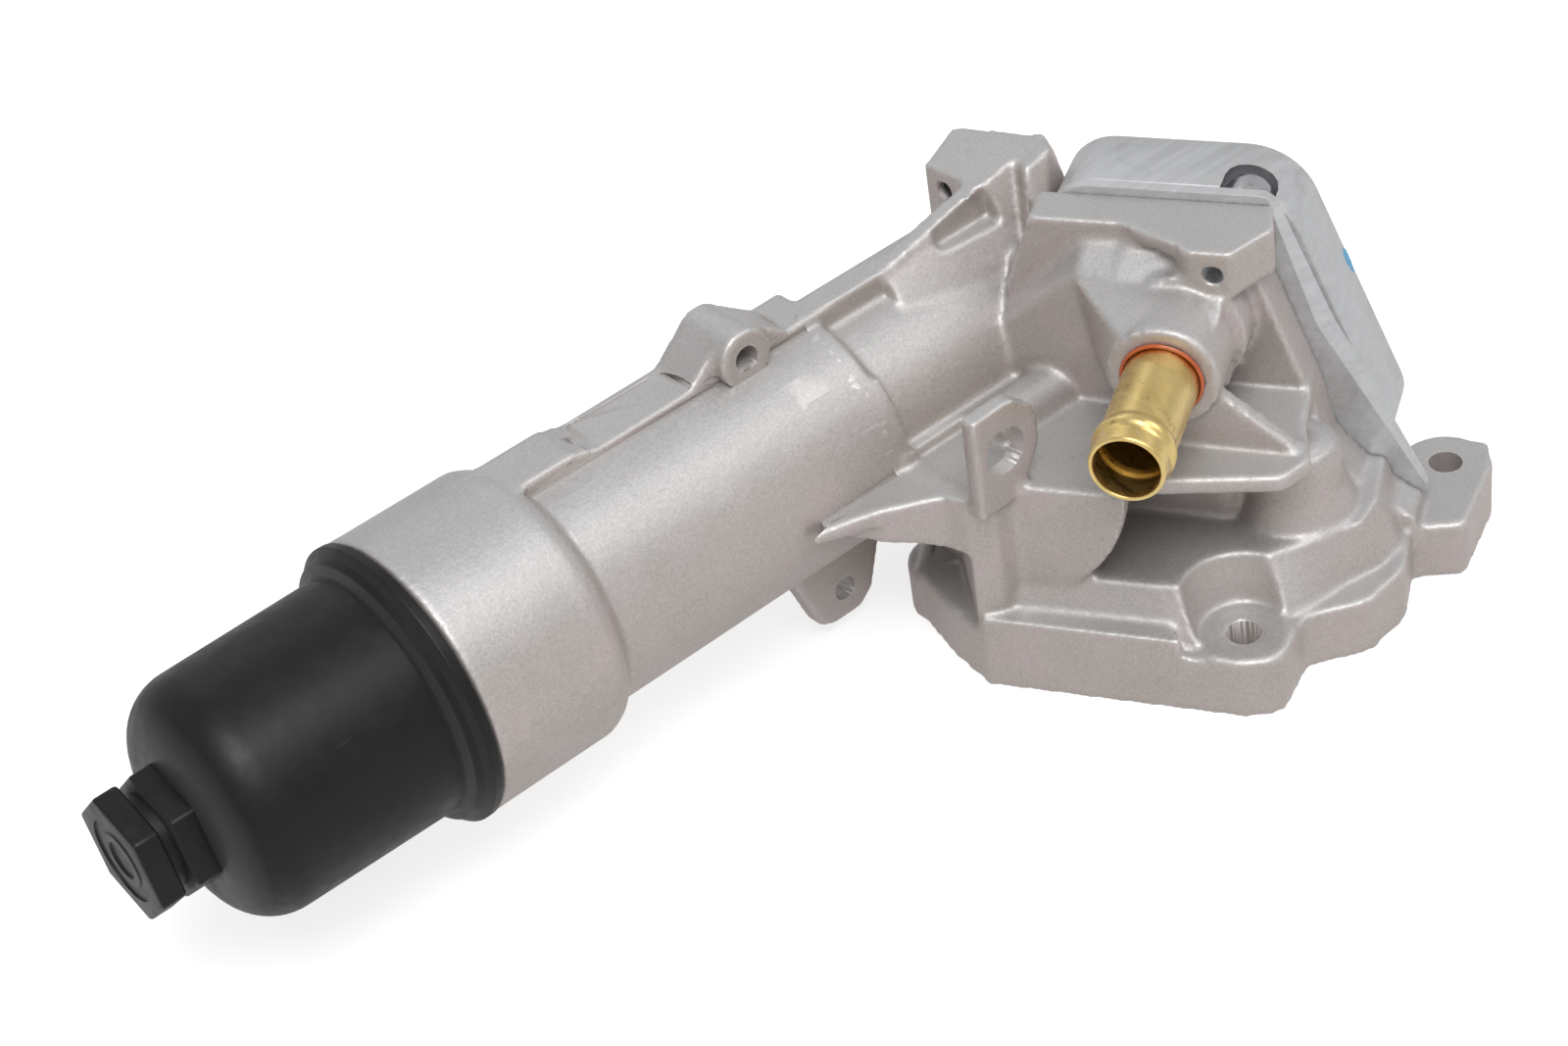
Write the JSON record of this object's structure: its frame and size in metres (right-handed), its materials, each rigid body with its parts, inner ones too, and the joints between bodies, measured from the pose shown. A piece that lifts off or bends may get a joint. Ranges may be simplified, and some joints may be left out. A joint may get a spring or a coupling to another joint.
{
  "type": "oil filter housing",
  "caption": "Cast aluminium engine oil filter housing with screw cap, filter element, plate oil cooler and brass coolant stub.",
  "frame": {"origin": "on the engine flange face, straight under the axis of the coolant stub", "axes": "+Z away from the engine, the barrel along X with its cap at -X, flange and cooler turned 60 degrees in plan"},
  "size_m": [0.3366, 0.152, 0.1022],
  "materials": {
    "cast_aluminium": "satin sand-textured casting",
    "brass": "drawn and polished",
    "sealant": "matt",
    "black_plastic": "satin moulded",
    "seal_rubber": "matt",
    "rolled_aluminium": "brushed",
    "screw_steel": "zinc plated",
    "spring_steel": "bright",
    "valve_plastic": "moulded",
    "element_plastic": "moulded",
    "filter_paper": "pleated"
  },
  "bodies": {
    "housing": {"filter_housing": "cast_aluminium", "coolant_pipe": "brass", "pipe_seal": "sealant", "cooler_plate": "rolled_aluminium", "cooler_core": "rolled_aluminium", "cooler_screws": "screw_steel", "standpipe": "black_plastic", "check_seat": "spring_steel", "check_stop": "spring_steel", "check_spring": "spring_steel", "pad_seal_oil_in": "seal_rubber", "pad_seal_oil_out": "seal_rubber", "pad_seal_coolant_in": "seal_rubber", "pad_seal_coolant_out": "seal_rubber", "flange_seal_feed": "seal_rubber", "flange_seal_return": "seal_rubber", "flange_seal_coolant": "seal_rubber"},
    "element": {"element_outer_disc": "element_plastic", "element_inner_disc": "element_plastic", "element_seal": "seal_rubber", "element_media": "filter_paper", "element_core": "element_plastic"},
    "cap": {"filter_cap": "black_plastic", "cap_o_ring": "seal_rubber", "bypass_clip": "spring_steel", "bypass_spring": "spring_steel"},
    "bypass": {"bypass_plunger": "valve_plastic"},
    "check": {"check_disc": "valve_plastic"}
  },
  "joints": [
    {"name": "element_lift", "type": "slide", "parent": "housing", "child": "element", "axis": [-1, 0, 0], "range_m": [0, 0.012]},
    {"name": "cap_turn", "type": "hinge", "parent": "element", "child": "cap", "pos_m": [-0.1832, 0.0674, 0.056], "axis": [-1, 0, 0], "range_deg": [0, 1080]},
    {"name": "bypass_open", "type": "slide", "parent": "cap", "child": "bypass", "axis": [1, 0, 0], "range_m": [0, 0.0035], "stiffness_N_per_m": 1500, "springref_m": -0.002, "deforming": ["bypass_spring"]},
    {"name": "check_open", "type": "slide", "parent": "housing", "child": "check", "axis": [0, 0, 1], "range_m": [0, 0.004], "stiffness_N_per_m": 300, "springref_m": -0.002, "deforming": ["check_spring"]}
  ],
  "couplings": [
    {"joint": "element_lift", "follows": "cap_turn", "m_per_rad": 0.00063662}
  ]
}
